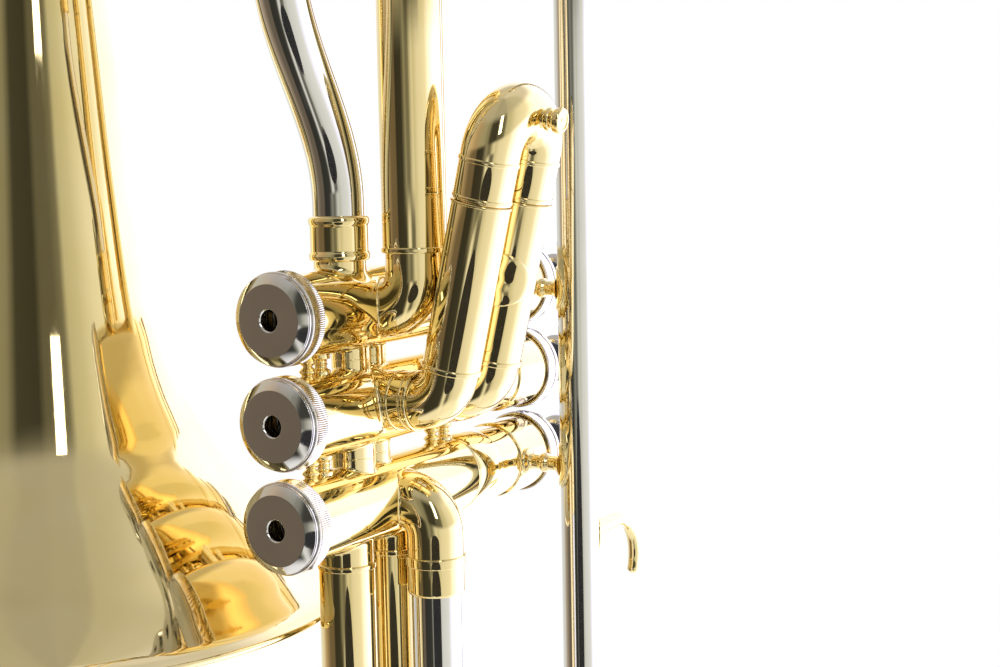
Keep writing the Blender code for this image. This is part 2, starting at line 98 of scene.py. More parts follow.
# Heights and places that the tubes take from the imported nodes
HEIGHTS = {valve: spot(f"bottom_cap_{valve}")[2].z for valve in (1, 2, 3)}
FIRST_FRONT, FIRST_BACK = spot("first_slide_sleeve_front")[2], spot("first_slide_sleeve_back")[2]
FIRST_BOTTOM, FIRST_TOP = spot("first_slide_sleeve_front")[0].z, spot("first_slide_sleeve_front")[1].z
SECOND_X = {side: spot(f"second_slide_sleeve_{side}")[2].x for side in ("front", "back")}
THIRD_X = {side: spot(f"third_slide_sleeve_{side}")[2].x for side in ("front", "back")}
THIRD_BOTTOM = spot("third_slide_sleeve_front")[0].z
PIPE_AT, RETURN_AT = spot("mouthpipe")[2], spot("return_tube")[2]
BOW_Z, RECEIVER_Z = spot("front_bow")[1].z, spot("mouthpiece_receiver")[0].z
NECK_PORT_AT, NECK_AT, BELL_AT = spot("neck_port")[2], spot("neckpipe")[2], spot("bell")[2]
NECK_START, TUNING_Z = spot("neckpipe")[0].z, spot("neckpipe")[1].z
RIM_Z = spot("bell")[0].z + 1.2

# Bends: their radii, and the second slide's tilt, rise and lengths along that tilt
ELBOW_BEND, SECOND_BEND = 11.0, 12.0
SECOND_TILT, SECOND_RISE, SECOND_ELBOW_Y = radians(13.4), 2.5, -22.2
SECOND_LENGTH, SECOND_LEG, SADDLE_UP = 54.0, 15.6, 28.7
SECOND_WAY = Vector((0, -sin(SECOND_TILT), cos(SECOND_TILT)))
KNOB_DIP, KNOB_DROP = radians(9), 0.9
S_BEND_START, S_BEND_END = 66.0, 140.0
HOOK_REACH, HOOK_BEND, HOOK_WIRE = 22.3, 16.0, 2.3
PIVOT_ALONG = 16.0
KNURL_TEETH = 140

# The bell's outer radius at heights above its rim, as (height, radius)
RIM = (spot("bell")[1].x - spot("bell")[0].x) / 2 - 0.2
FLARE = [(0, RIM), (4, 94.6), (12, 86.4), (25.5, 76.8), (39.5, 67.3), (61.5, 52.5), (91.5, 41.5),
         (141.5, 34.5), (206.5, 28.5), (301.5, 19.5), (411.5, 12.5), (TUNING_Z - RIM_Z, 12.2)]


# ---- materials

def graph(name):
    """A new node material, with its tree, its shader and the place on the object."""
    made = bpy.data.materials.new(name)
    made.use_nodes = True
    tree = made.node_tree
    shader = tree.nodes["Principled BSDF"]
    place = tree.nodes.new("ShaderNodeTexCoord").outputs["Object"]
    return made, tree, shader, place


def fill(node, values):
    """Set a node's plain inputs by name."""
    for name, value in values.items():
        node.inputs[name].default_value = value


def noise(tree, place, scale, detail=3.0, stretch=None):
    """A noise value at a scale in features per metre, stretched along some axes if asked."""
    if stretch:
        mapping = tree.nodes.new("ShaderNodeMapping")
        fill(mapping, {"Scale": stretch})
        tree.links.new(place, mapping.inputs["Vector"])
        place = mapping.outputs["Vector"]
    made = tree.nodes.new("ShaderNodeTexNoise")
    fill(made, {"Scale": scale, "Detail": detail})
    tree.links.new(place, made.inputs["Vector"])
    return made.outputs["Fac"]


def spread(tree, value, low, high, start=0.3, end=0.7):
    """Map a value's range from start..end to low..high."""
    made = tree.nodes.new("ShaderNodeMapRange")
    fill(made, {"From Min": start, "From Max": end, "To Min": low, "To Max": high})
    tree.links.new(value, made.inputs["Value"])
    return made.outputs["Result"]


def mixed(tree, value, first, second):
    """A colour between two, by a value."""
    made = tree.nodes.new("ShaderNodeMix")
    made.data_type = "RGBA"
    fill(made, {"A": (*first, 1), "B": (*second, 1)})
    tree.links.new(value, made.inputs["Factor"])
    return made.outputs["Result"]


def bumped(tree, shader, value, strength, distance):
    """Raise a shader's surface by a value."""
    made = tree.nodes.new("ShaderNodeBump")
    fill(made, {"Strength": strength, "Distance": distance})
    tree.links.new(value, made.inputs["Height"])
    tree.links.new(made.outputs["Normal"], shader.inputs["Normal"])


def metal(name, bright, deep, smooth, rough, coat=0.0, wave=0.02):
    """Polished metal: slow colour drift, fine wipe marks in the roughness and a faint waviness."""
    made, tree, shader, place = graph(name)
    drift = spread(tree, noise(tree, place, 45, 2), 0, 1)
    tree.links.new(mixed(tree, drift, bright, deep), shader.inputs["Base Color"])
    wipes = noise(tree, place, 900, 5, stretch=(1, 1, 0.12))
    tree.links.new(spread(tree, wipes, smooth, rough, 0.35, 0.75), shader.inputs["Roughness"])
    bumped(tree, shader, noise(tree, place, 160, 1), wave, 0.0004)
    fill(shader, {"Metallic": 1, "Coat Weight": coat, "Coat Roughness": 0.03})
    return made


def soft(name, bright, deep, scale, rough, bump, sheen=0.0):
    """A dull material: felt, cork or rubber, with a grain in its colour and surface."""
    made, tree, shader, place = graph(name)
    grain = noise(tree, place, scale, 6)
    tree.links.new(mixed(tree, spread(tree, grain, 0, 1, 0.35, 0.65), bright, deep),
                   shader.inputs["Base Color"])
    bumped(tree, shader, grain, bump, 0.0003)
    fill(shader, {"Roughness": rough, "Sheen Weight": sheen})
    return made


def inlay(name):
    """The dark shell-like disc in a finger button."""
    made, tree, shader, place = graph(name)
    bands = noise(tree, place, 350, 3, stretch=(1, 0.35, 1))
    tree.links.new(mixed(tree, spread(tree, bands, 0, 1), (0.19, 0.19, 0.2), (0.07, 0.075, 0.085)),
                   shader.inputs["Base Color"])
    tree.links.new(spread(tree, bands, 0.1, 0.22), shader.inputs["Roughness"])
    fill(shader, {"Coat Weight": 0.6})
    return made


LOOKS = {
    "brass": metal("lacquered_brass", (0.93, 0.77, 0.41), (0.91, 0.73, 0.35), 0.03, 0.065, coat=0.2),
    "silver": metal("nickel_silver", (0.76, 0.74, 0.68), (0.72, 0.7, 0.64), 0.035, 0.07, coat=0.15),
    "nickel": metal("nickel_plate", (0.82, 0.79, 0.75), (0.76, 0.73, 0.69), 0.06, 0.12),
    "plate": metal("silver_plate", (0.93, 0.92, 0.89), (0.88, 0.87, 0.83), 0.05, 0.1),
    "lapped": metal("lapped_piston", (0.62, 0.6, 0.57), (0.55, 0.53, 0.5), 0.2, 0.3),
    "wire": metal("spring_wire", (0.5, 0.5, 0.52), (0.4, 0.4, 0.42), 0.25, 0.35),
    "felt": soft("pressed_felt", (0.05, 0.05, 0.055), (0.02, 0.02, 0.022), 2600, 0.95, 0.6, sheen=0.4),
    "cork": soft("cut_cork", (0.52, 0.34, 0.19), (0.3, 0.18, 0.1), 1500, 0.85, 0.5),
    "inlay": inlay("button_inlay"),
}


# ---- shapes

def to_mesh(bm, name):
    """Turn a bmesh into a mesh and free it."""
    mesh = bpy.data.meshes.new(name)
    bm.to_mesh(mesh)
    bm.free()
    return mesh


def in_place(bm, name):
    """A mesh from a bmesh in millimetres, moved from the block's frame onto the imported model."""
    for vert in bm.verts:
        vert.co = ORIGIN + vert.co * MM
    return to_mesh(bm, name)


def linked(name, data):
    """A new object of the scene for a mesh, a light or a camera."""
    made = bpy.data.objects.new(name, data)
    bpy.context.scene.collection.objects.link(made)
    return made


def piece(name, bm, look, body="body", nodes=(), sharp=38):
    """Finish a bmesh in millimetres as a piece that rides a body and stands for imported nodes."""
    bmesh.ops.remove_doubles(bm, verts=bm.verts, dist=0.002)
    bmesh.ops.recalc_face_normals(bm, faces=bm.faces)
    mesh = in_place(bm, name)
    mesh.shade_smooth()
    mesh.set_sharp_from_angle(angle=radians(sharp))
    mesh.materials.append(LOOKS[look])
    made = linked(name, mesh)
    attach(made, body)
    if nodes:
        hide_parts(*nodes)
    return made


def stand_in(bm, node, look="brass", body="body"):
    """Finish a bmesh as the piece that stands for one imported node."""
    return piece(f"{node}_look", bm, look, body, [node])


def across(direction):
    """Two unit vectors square to a direction."""
    helper = X if abs(direction.x) < 0.9 else Y
    first = direction.cross(helper).normalized()
    return first, direction.cross(first).normalized()


def skin(bm, low, high):
    """Join two closed rows of vertices with faces."""
    for i in range(len(low)):
        j = (i + 1) % len(low)
        corners = []
        for corner in (low[i], low[j], high[j], high[i]):
            if corner not in corners:
                corners.append(corner)
        if len(corners) > 2:
            bm.faces.new(corners)


def rounded(outline, radius, closed):
    """Replace each sharp corner of an outline by a short curve."""
    made, steps = [], 3
    for i, corner in enumerate(outline):
        here = Vector(corner)
        at_end = not closed and i in (0, len(outline) - 1)
        before = Vector(outline[i - 1]) - here
        after = Vector(outline[(i + 1) % len(outline)]) - here
        if at_end or corner[1] == 0 or before.angle(-after, 0) < radians(12):
            made.append(here)
            continue
        reach = min(radius, before.length * 0.45, after.length * 0.45)
        start, end = here + before.normalized() * reach, here + after.normalized() * reach
        for k in range(steps + 1):
            t = k / steps
            made.append(start * (1 - t) ** 2 + here * 2 * t * (1 - t) + end * t * t)
    return made


def turn(bm, start, direction, outline, sides=72, soft_edge=0.25, knurl=None):
    """Revolve an outline of (along, radius) points; knurl is (from, to, depth, least radius)."""
    start, direction = Vector(start), Vector(direction).normalized()
    first, second = across(direction)
    closed = outline[0][1] > 0
    sides = KNURL_TEETH * 4 if knurl else sides
    rows = []
    for along, radius in rounded(outline, soft_edge, closed):
        centre = start + direction * along
        if radius < 1e-6:
            rows.append([bm.verts.new(centre)] * sides)
            continue
        knurled = knurl and knurl[0] <= along <= knurl[1] and radius > knurl[3]
        row = []
        for i in range(sides):
            angle = 2 * pi * i / sides
            reach = radius
            if knurled:
                reach -= knurl[2] * (0.5 - 0.5 * cos(KNURL_TEETH * angle))
            row.append(bm.verts.new(centre + reach * (cos(angle) * first + sin(angle) * second)))
        rows.append(row)
    for low, high in zip(rows, rows[1:]):
        skin(bm, low, high)
    if closed:
        skin(bm, rows[-1], rows[0])


def band(bm, centre, direction, radius, width=1.2, height=0.35, sides=72):
    """A thin raised ring round a tube."""
    edge = min(0.3, width / 4)
    outline = [(-width / 2, radius - 0.3), (-width / 2, radius + height * 0.55),
               (-width / 2 + edge, radius + height), (width / 2 - edge, radius + height),
               (width / 2, radius + height * 0.55), (width / 2, radius - 0.3)]
    turn(bm, centre, direction, outline, sides, soft_edge=0.2)


def bend(centre, arm, axis, angle, steps=18):
    """Points of an arc that starts at centre + arm and turns about axis."""
    centre, arm = Vector(centre), Vector(arm)
    return [centre + Matrix.Rotation(angle * i / steps, 3, axis) @ arm for i in range(steps + 1)]


def dense(path, step):
    """Add points so that no straight stretch of a path is longer than step."""
    made = [path[0]]
    for start, end in zip(path, path[1:]):
        parts = max(1, int((end - start).length / step))
        made += [start.lerp(end, (k + 1) / parts) for k in range(parts)]
    return made


def tube_rows(path, radii, sides):
    """Rows of points round a path, without a twist from one row to the next."""
    steps = [b - a for a, b in zip(path, path[1:])]
    last = steps[0].normalized()
    first, second = across(last)
    angles = [2 * pi * k / sides for k in range(sides)]
    rows = []
    for i, centre in enumerate(path):
        before, after = steps[max(i - 1, 0)], steps[min(i, len(steps) - 1)]
        way = (before.normalized() + after.normalized()).normalized()
        turned = last.rotation_difference(way)
        first, second, last = turned @ first, turned @ second, way
        rows.append([centre + radii[i] * (cos(a) * first + sin(a) * second) for a in angles])
    return rows


def from_axis(point, height):
    """A point's distance from a casing's axis."""
    return sqrt(point.y ** 2 + (point.z - height) ** 2)


def trimmed(rows, valve):
    """Pull the rows that start inside a casing out to its surface; gives the meeting points."""
    height, meeting = HEIGHTS[valve], []
    for k in range(len(rows[0])):
        outside = next(i for i, row in enumerate(rows) if from_axis(row[k], height) > CASING - 0.05)
        if outside == 0:
            meeting.append((rows[0][k], 1))
            continue
        a, b = rows[outside - 1][k], rows[outside][k]
        near, far = from_axis(a, height), from_axis(b, height)
        hit = a.lerp(b, (CASING - 0.05 - near) / (far - near))
        for i in range(outside):
            rows[i][k] = hit
        meeting.append((hit, outside))
    return meeting


def fillet(bm, rows, centres, meeting, valve, size):
    """The concave sweep of solder and metal where a tube meets a casing."""
    height, steps, loops = HEIGHTS[valve], 5, []
    for k, (hit, row) in enumerate(meeting):
        casing = Vector((0, hit.y, hit.z - height)).normalized()
        side = (rows[row][k] - centres[row]).normalized()
        out = (side - casing * side.dot(casing)).normalized()
        up = (casing - side * side.dot(casing)).normalized()
        curve = []
        for s in range(steps + 1):
            t = s / steps
            curve.append(hit + out * size * (1 - t) ** 2 + up * size * t * t)
        loop = [bm.verts.new(keep_out(p, height)) for p in curve]
        loop.append(bm.verts.new(hit - casing * 0.5 - side * 0.5))
        loops.append(loop)
    for k in range(len(loops)):
        skin(bm, loops[k - 1], loops[k])


def keep_out(point, height):
    """Lift a point onto a casing's surface if it lies inside."""
    distance = from_axis(point, height)
    if distance >= CASING + 0.03:
        return point
    scale = (CASING + 0.03) / distance
    return Vector((point.x, point.y * scale, height + (point.z - height) * scale))


def joined(bm, rows):
    """Vertices for rows of points, with faces from each row to the next."""
    made = [[bm.verts.new(point) for point in row] for row in rows]
    for low, high in zip(made, made[1:]):
        skin(bm, low, high)
    return made


def tube(bm, path, radii, wall=WALL, sides=64, start_at=None, end_at=None, flare=2.2):
    """A round tube along a path, fitted to a casing at its start or end when one is named."""
    radii = radii if isinstance(radii, list) else [radii] * len(path)
    outside = tube_rows(path, radii, sides)
    inside = tube_rows(path, [radius - wall for radius in radii], sides)
    for valve, way in ((start_at, 1), (end_at, -1)):
        if valve:
            meeting = trimmed(outside[::way], valve)
            fillet(bm, outside[::way], path[::way], meeting, valve, flare)
            trimmed(inside[::way], valve)
    outside = joined(bm, outside)
    if not wall:
        bm.faces.new(outside[0])
        bm.faces.new(outside[-1])
        return
    inside = joined(bm, inside)
    skin(bm, outside[0], inside[0])
    skin(bm, outside[-1], inside[-1])


def rod(bm, path, radii, sides=24):
    """A solid wire or rod with rounded ends."""
    radii = radii if isinstance(radii, list) else [radii] * len(path)
    head = (path[0] - path[1]).normalized()
    tail = (path[-1] - path[-2]).normalized()
    caps = [(0.98, 0.2), (0.85, 0.55), (0.5, 0.87)]
    front = [(path[0] + head * radii[0] * a * 0.6, radii[0] * b) for a, b in caps]
    back = [(path[-1] + tail * radii[-1] * a * 0.6, radii[-1] * b) for a, b in reversed(caps)]
    points = [p for p, _ in front] + list(path) + [p for p, _ in back]
    sizes = [r for _, r in front] + radii + [r for _, r in back]
    tube(bm, points, sizes, wall=0, sides=sides)


def saddle_plate(bm, centre, tube_way, facing, radius, half_height, half_angle, thick=0.5):
    """A thin oval plate that wraps a tube where a brace is soldered to it."""
    tube_way, facing = tube_way.normalized(), facing.normalized()
    side = tube_way.cross(facing).normalized()
    sectors, layers = 48, []
    flat = [(0, -0.05), (0.4, -0.05), (0.8, -0.05), (1, -0.05)]
    domed = [(0, thick), (0.4, thick), (0.8, thick), (0.93, thick), (0.97, thick * 0.92),
             (0.99, thick * 0.7), (1, thick * 0.3)]
    for profile in (flat, domed):
        rows = []
        for share, lift in profile:
            row = []
            for k in range(sectors):
                angle = 2 * pi * k / sectors
                around = half_angle * share * cos(angle)
                along = half_height * share * sin(angle)
                way = facing * cos(around) + side * sin(around)
                row.append(centre + way * (radius + lift) + tube_way * along)
            rows.append(row)
        layers.append(joined(bm, rows))
    skin(bm, layers[0][-1], layers[1][-1])


# ---- valve block

def casing(valve):
    """A valve casing with its shoulder band and the seam of its upper barrel."""
    bm = bmesh.new()
    outline = [
        (2.5, BORE), (2.5, CASING), (98.5, CASING), (99.0, CASING + 0.3), (100.5, CASING + 0.62),
        (103, CASING + 0.86), (106.5, CASING + 0.95), (110, CASING + 0.86), (112.5, CASING + 0.62),
        (114.2, CASING + 0.35), (114.7, CASING + 0.12), (126.7, CASING + 0.12),
        (126.9, CASING - 0.15), (127.3, CASING - 0.15), (127.5, BALUSTER - 0.25),
        (128.6, BALUSTER), (146.6, BALUSTER), (152, BALUSTER), (152, BORE),
    ]
    turn(bm, (0, 0, HEIGHTS[valve]), X, outline, 96, soft_edge=0.3)
    piece(f"casing_{valve}", bm, "brass", nodes=[f"valve_casing_{valve}"])


def bottom_cap(valve):
    """The screwed bottom cap: flat face with a vent, chamfer, two fine grooves and a knurl."""
    bm = bmesh.new()
    outline = [
        (0.45, 3.15), (0, 3.55), (0, 11.05), (1.75, 13.75), (1.95, 13.8), (2.0, 13.45),
        (2.2, 13.45), (2.25, 13.95), (2.75, 13.98), (2.8, 13.6), (3.05, 13.6), (3.15, 14.3),
        (3.6, 14.55), (4.0, 14.55), (8.7, 14.55), (9.1, 14.5), (9.5, 14.1), (9.5, 13.25),
        (2.3, 13.25), (2.3, 3.15),
    ]
    turn(bm, (0, 0, HEIGHTS[valve]), X, outline, soft_edge=0.09, knurl=(3.7, 9.0, 0.32, 14))
    piece(f"bottom_cap_look_{valve}", bm, "nickel", nodes=[f"bottom_cap_{valve}"], sharp=50)


def top_cap(valve):
    """The screwed top cap: knurled edge, shoulder groove and a low dome round the stem."""
    bm = bmesh.new()
    outline = [
        (147, 14.05), (147, 14.6), (147.4, 15.0), (147.8, 15.15), (151.6, 15.15), (152, 15.0),
        (152.2, 14.6), (152.6, 14.6), (152.8, 15.0), (154.6, 14.9), (156.2, 13.6), (157.4, 10.5),
        (158.3, 7.2), (158.5, 4.4), (158.1, 4.0), (152.3, 4.0), (152.3, 14.05),
    ]
    turn(bm, (0, 0, HEIGHTS[valve]), X, outline, soft_edge=0.15, knurl=(147.7, 151.8, 0.2, 14.9))
    piece(f"top_cap_look_{valve}", bm, "nickel", nodes=[f"top_cap_{valve}"], sharp=50)


def drilled(target, cuts, sides=40):
    """Cut round passages, given as (start, end, radius), out of a finished piece."""
    bm = bmesh.new()
    for start, end, radius in cuts:
        tube(bm, [Vector(start), Vector(end)], radius, wall=0, sides=sides)
    bmesh.ops.recalc_face_normals(bm, faces=bm.faces)
    cutter = linked("cutter", in_place(bm, "cutter"))
    change = target.modifiers.new("passages", "BOOLEAN")
    change.operation = "DIFFERENCE"
    change.object = cutter
    bpy.context.view_layer.update()
    depsgraph = bpy.context.evaluated_depsgraph_get()
    solid = bpy.data.meshes.new_from_object(target.evaluated_get(depsgraph))
    target.modifiers.clear()
    target.data = solid
    solid.shade_smooth()
    solid.set_sharp_from_angle(angle=radians(38))
    bpy.data.objects.remove(cutter)


def piston(valve):
    """The piston with its passages and its stem."""
    base = Vector((0, 0, HEIGHTS[valve]))
    bm = bmesh.new()
    outline = [(26, 0), (26, 10.6), (27, 11.5), (97, 11.5), (98, 10.6), (98, 5.2), (101, 3.6),
               (104, 3.0), (177.3, 3.0), (177.3, 0)]
    turn(bm, base, X, outline, 72, soft_edge=0.3)
    made = piece(f"piston_look_{valve}", bm, "lapped", f"valve_{valve}", [f"piston_{valve}"])
    cuts = []
    for k, angle in enumerate((20, 80, 140)):
        centre = base + X * (42 + 20 * k)
        reach = Vector((0.15, cos(radians(angle)), sin(radians(angle)))) * 16
        cuts.append((centre - reach, centre + reach, 6.0))
    drilled(made, cuts)


def button(valve):
    """The felt, the finger button and its inlay."""
    base, body = Vector((0, 0, HEIGHTS[valve])), f"valve_{valve}"
    bm = bmesh.new()
    turn(bm, base, X, [(175.3, 3.2), (175.3, 6.5), (177.3, 6.5), (177.3, 3.2)], 64, 0.5)
    piece(f"button_felt_look_{valve}", bm, "felt", body, [f"button_felt_{valve}"])
    bm = bmesh.new()
    cup = [(177.6, 0), (177.6, 5.2), (178.2, 7.6), (179.4, 9.1), (181.0, 9.5), (183.2, 9.5),
           (184, 9.0), (184, 7.9), (183.3, 7.7), (183.3, 0)]
    turn(bm, base, X, cup, 72, 0.25)
    piece(f"finger_button_look_{valve}", bm, "nickel", body, [f"finger_button_{valve}"])
    bm = bmesh.new()
    turn(bm, base, X, [(183.35, 0), (183.35, 7.65), (183.9, 7.5), (183.6, 4), (183.45, 0)], 64, 0.2)
    piece(f"button_inlay_{valve}", bm, "inlay", body)


def spring(valve, turns=4.5, per_turn=28, wire=0.6, radius=8.0):
    """The coil under the piston, built at one length; the real coil shortens as the valve is pressed."""
    start, end, stroke = 3.1, 25.1, 16.5
    height, count = HEIGHTS[valve], int(turns * per_turn)
    coil = []
    for i in range(count + 1):
        angle = 2 * pi * i / per_turn
        along = start + (end - start) * i / count
        coil.append(Vector((along, radius * cos(angle), height + radius * sin(angle))))
    bm = bmesh.new()
    rod(bm, coil, wire, sides=10)
    made = piece(f"valve_spring_look_{valve}", bm, "wire", nodes=[f"valve_spring_{valve}"])
    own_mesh(made)


def turned_post(bm, along, upper, lower, beads):
    """A little turned post between two casings: two balls, or a spool with wide ends."""
    low, high = HEIGHTS[lower] + CASING - 0.2, HEIGHTS[upper] - CASING + 0.2
    balls = [(0, 2.5), (0.06, 2.0), (0.25, 2.75), (0.42, 2.0), (0.5, 1.45)]
    spool = [(0, 3.1), (0.2, 3.0), (0.27, 2.2), (0.42, 1.9), (0.5, 2.2)]
    half = balls if beads else spool
    shape = eased(half + [(1 - share, radius) for share, radius in reversed(half[:-1])], 5)
    sides = [(share * (high - low), radius) for share, radius in shape]
    turn(bm, (along, 0, low), Z, [(0, 0)] + sides + [(high - low, 0)], 40, soft_edge=0)


def between_casings(upper, lower, passages, posts):
    """The passage tubes and the turned posts between two casings."""
    top, bottom = HEIGHTS[upper], HEIGHTS[lower]
    bm = bmesh.new()
    for along, radius in passages:
        path = dense([Vector((along, 0, bottom + 6)), Vector((along, 0, top - 6))], 0.5)
        tube(bm, path, radius, 1.0, 56, start_at=lower, end_at=upper, flare=0.9)
        middle = Vector((along, 0, (top + bottom) / 2))
        band(bm, middle, Z, radius, 0.5, 0.12)
    piece(f"passages_{upper}{lower}", bm, "brass", nodes=[f"knuckle_{upper}{lower}"])
    bm = bmesh.new()
    for i, along in enumerate(posts):
        turned_post(bm, along, upper, lower, i % 2 == 0)
    piece(f"posts_{upper}{lower}", bm, "brass", nodes=[f"casing_post_{upper}{lower}"])


# ---- slides

def elbow_path(x, y, height, way, end_z):
    """A path that leaves a casing towards -Y and turns up or down."""
    centre = Vector((x, y + ELBOW_BEND, height + way * ELBOW_BEND))
    path = [Vector((x, -6, height))]
    path += bend(centre, (0, 0, -way * ELBOW_BEND), X, -way * pi / 2)
    path.append(Vector((x, y, end_z)))
    return dense(path, 1.0)


def sleeve_shape(bm, start, end, radius, mouth=2.6, foot=True):
    """A slide's outer sleeve: rings at the mouth and at the foot, and a rounded lip."""
    way = (end - start).normalized()
    length = (end - start).length
    outline = [(0, radius - 0.8), (0, radius), (length - 0.4, radius), (length, radius - 0.3),
               (length, radius - 0.8)]
    turn(bm, start, way, outline, 72, 0.15)
    band(bm, end - way * mouth / 2, way, radius, mouth, 0.4)
    if foot:
        band(bm, start + way * 0.9, way, radius, 1.8, 0.4)


def crook(slide, front, back, way, radii, join, depth, steps=36):
    """The sliding half of a slide, with rings where the thin legs enter the crook; gives its top."""
    bm = bmesh.new()
    half = (back - front) / 2
    centre = (front + back) / 2 + way * join
    arc = bend(centre, -half, half.normalized().cross(way), -pi, steps)
    grow = [radii[0] + (radii[1] - radii[0]) * i / steps for i in range(steps + 1)]
    ends = [(front - way * depth, radii[0] - LEG_STEP), (front + way * 0.2, radii[0] - LEG_STEP),
            (front + way * 0.35, radii[0] - 0.15), (front + way * 0.7, radii[0])]
    last = [(back + way * 0.7, radii[1]), (back + way * 0.35, radii[1] - 0.15),
            (back + way * 0.2, radii[1] - LEG_STEP), (back - way * depth, radii[1] - LEG_STEP)]
    path = [p for p, _ in ends] + arc + [p for p, _ in last]
    sizes = [r for _, r in ends] + grow + [r for _, r in last]
    tube(bm, path, sizes, WALL, 72)
    for leg, radius in ((front, radii[0]), (back, radii[1])):
        band(bm, leg + way * min(join - 0.8, 13), way, radius, 1.5, 0.35)
        band(bm, leg + way * 1.4, way, radius, 1.0, 0.25)
    stand_in(bm, f"{slide}_bow", body=slide)
    return centre + way * half.length


def first_slide():
    """The upright slide of the first valve: elbow, two sleeves and the crook on top."""
    bm = bmesh.new()
    path = elbow_path(FIRST_FRONT.x, FIRST_FRONT.y, HEIGHTS[1], 1, FIRST_BOTTOM)
    tube(bm, path, ELBOW, start_at=1, flare=0.9)
    stand_in(bm, "first_slide_elbow")
    front, back = at_height(FIRST_FRONT), Vector((FIRST_BACK.x, 0, 0))
    bm = bmesh.new()
    sleeve_shape(bm, front + Z * FIRST_BOTTOM, front + Z * FIRST_TOP, FIRST_SLEEVE)
    stand_in(bm, "first_slide_sleeve_front")
    bm = bmesh.new()
    path = dense([back + Z * (HEIGHTS[1] + 6), back + Z * (HEIGHTS[1] + 24)], 0.7)
    tube(bm, path, ELBOW, start_at=1, flare=1.8)
    sleeve_shape(bm, back + Z * (HEIGHTS[1] + 20), back + Z * FIRST_TOP, FIRST_SLEEVE)
    stand_in(bm, "first_slide_sleeve_back")
    mouths = front + Z * FIRST_TOP, back + Z * FIRST_TOP
    crook("first_slide", *mouths, Z, (FIRST_SLEEVE, FIRST_SLEEVE), 10, 60)


def second_foot(x):
    """Where a second-slide sleeve starts, at the end of its elbow."""
    turned = pi / 2 - SECOND_TILT
    return Vector((x, SECOND_ELBOW_Y - SECOND_BEND * sin(turned),
                   SECOND_RISE + SECOND_BEND * (1 - cos(turned)))) + SECOND_WAY


def second_elbow(side, x):
    """The elbow of the second slide, in a collar with three rings where it leaves the casing."""
    start = Vector((x, -6, SECOND_RISE))
    centre = Vector((x, SECOND_ELBOW_Y, SECOND_RISE + SECOND_BEND))
    arc = bend(centre, (0, 0, -SECOND_BEND), X, -(pi / 2 - SECOND_TILT))
    path = dense([start, *arc, second_foot(x) + SECOND_WAY * 0.3], 0.8)
    bm = bmesh.new()
    tube(bm, path, SECOND_ELBOW, start_at=2, flare=0.8)
    collar = dense([start, Vector((x, SECOND_ELBOW_Y + 0.2, SECOND_RISE))], 0.8)
    tube(bm, collar, SECOND_COLLAR, 0.5, start_at=2, flare=1.3)
    for y, width, height in ((-15.2, 1.1, 0.45), (SECOND_ELBOW_Y + 2.4, 0.8, 0.3),
                             (SECOND_ELBOW_Y + 0.4, 1.5, 0.5)):
        band(bm, (x, y, SECOND_RISE), Y, SECOND_COLLAR, width, height)
    stand_in(bm, f"second_slide_elbow_{side}")


def second_slide():
    """The tilted slide of the second valve: two elbows, two sleeves, the crook and its knob."""
    tops = []
    for side, x in SECOND_X.items():
        second_elbow(side, x)
        foot = second_foot(x) + SECOND_WAY * 0.3
        tops.append(foot + SECOND_WAY * SECOND_LENGTH)
        bm = bmesh.new()
        sleeve_shape(bm, foot, tops[-1], SECOND_SLEEVE, mouth=0.9)
        if side == "back":
            middle = foot + SECOND_WAY * SADDLE_UP
            saddle_plate(bm, middle, SECOND_WAY, -X, SECOND_SLEEVE, 8.9, 1.36, 0.8)
        stand_in(bm, f"second_slide_sleeve_{side}")
    knob(crook("second_slide", *tops, SECOND_WAY, (SECOND_SLEEVE, SECOND_SLEEVE), SECOND_LEG, 40))


def knob(crown):
    """The pull knob on the second slide's crook: two discs on a waisted stem, hollow at the end."""
    bm = bmesh.new()
    outline = [(-0.8, 0), (-0.8, 3.2), (0.0, 2.7), (0.4, 2.6), (0.7, 3.3), (1.1, 3.65), (2.2, 3.7),
               (2.6, 3.4), (2.9, 2.6), (3.3, 2.5), (3.6, 3.2), (4.0, 3.85), (4.5, 4.0),
               (5.8, 4.0), (6.3, 3.7), (6.4, 3.0), (6.0, 2.6), (5.9, 0.9), (6.2, 0.5), (6.2, 0)]
    out = Vector((0, -cos(KNOB_DIP), -sin(KNOB_DIP)))
    foot = crown - Z * KNOB_DROP + out * (SECOND_SLEEVE - 0.1)
    turn(bm, foot, out, outline, 56, 0.15)
    stand_in(bm, "second_slide_knob", body="second_slide")


def third_slide():
    """The hanging slide of the third valve: two sleeves and the crook below them."""
    feet, top = [], HEIGHTS[3]
    for side, x in THIRD_X.items():
        bm = bmesh.new()
        path = dense([Vector((x, 0, top - 6)), Vector((x, 0, top - 22))], 0.7)
        tube(bm, path, THIRD_SLEEVE - 0.3, start_at=3, flare=1.2)
        feet.append(Vector((x, 0, THIRD_BOTTOM)))
        sleeve_shape(bm, Vector((x, 0, top - 17.5)), feet[-1], THIRD_SLEEVE)
        stand_in(bm, f"third_slide_sleeve_{side}")
    crook("third_slide", *feet, -Z, (THIRD_SLEEVE, THIRD_SLEEVE), 80, 70)


# ---- mouthpipe and front bow

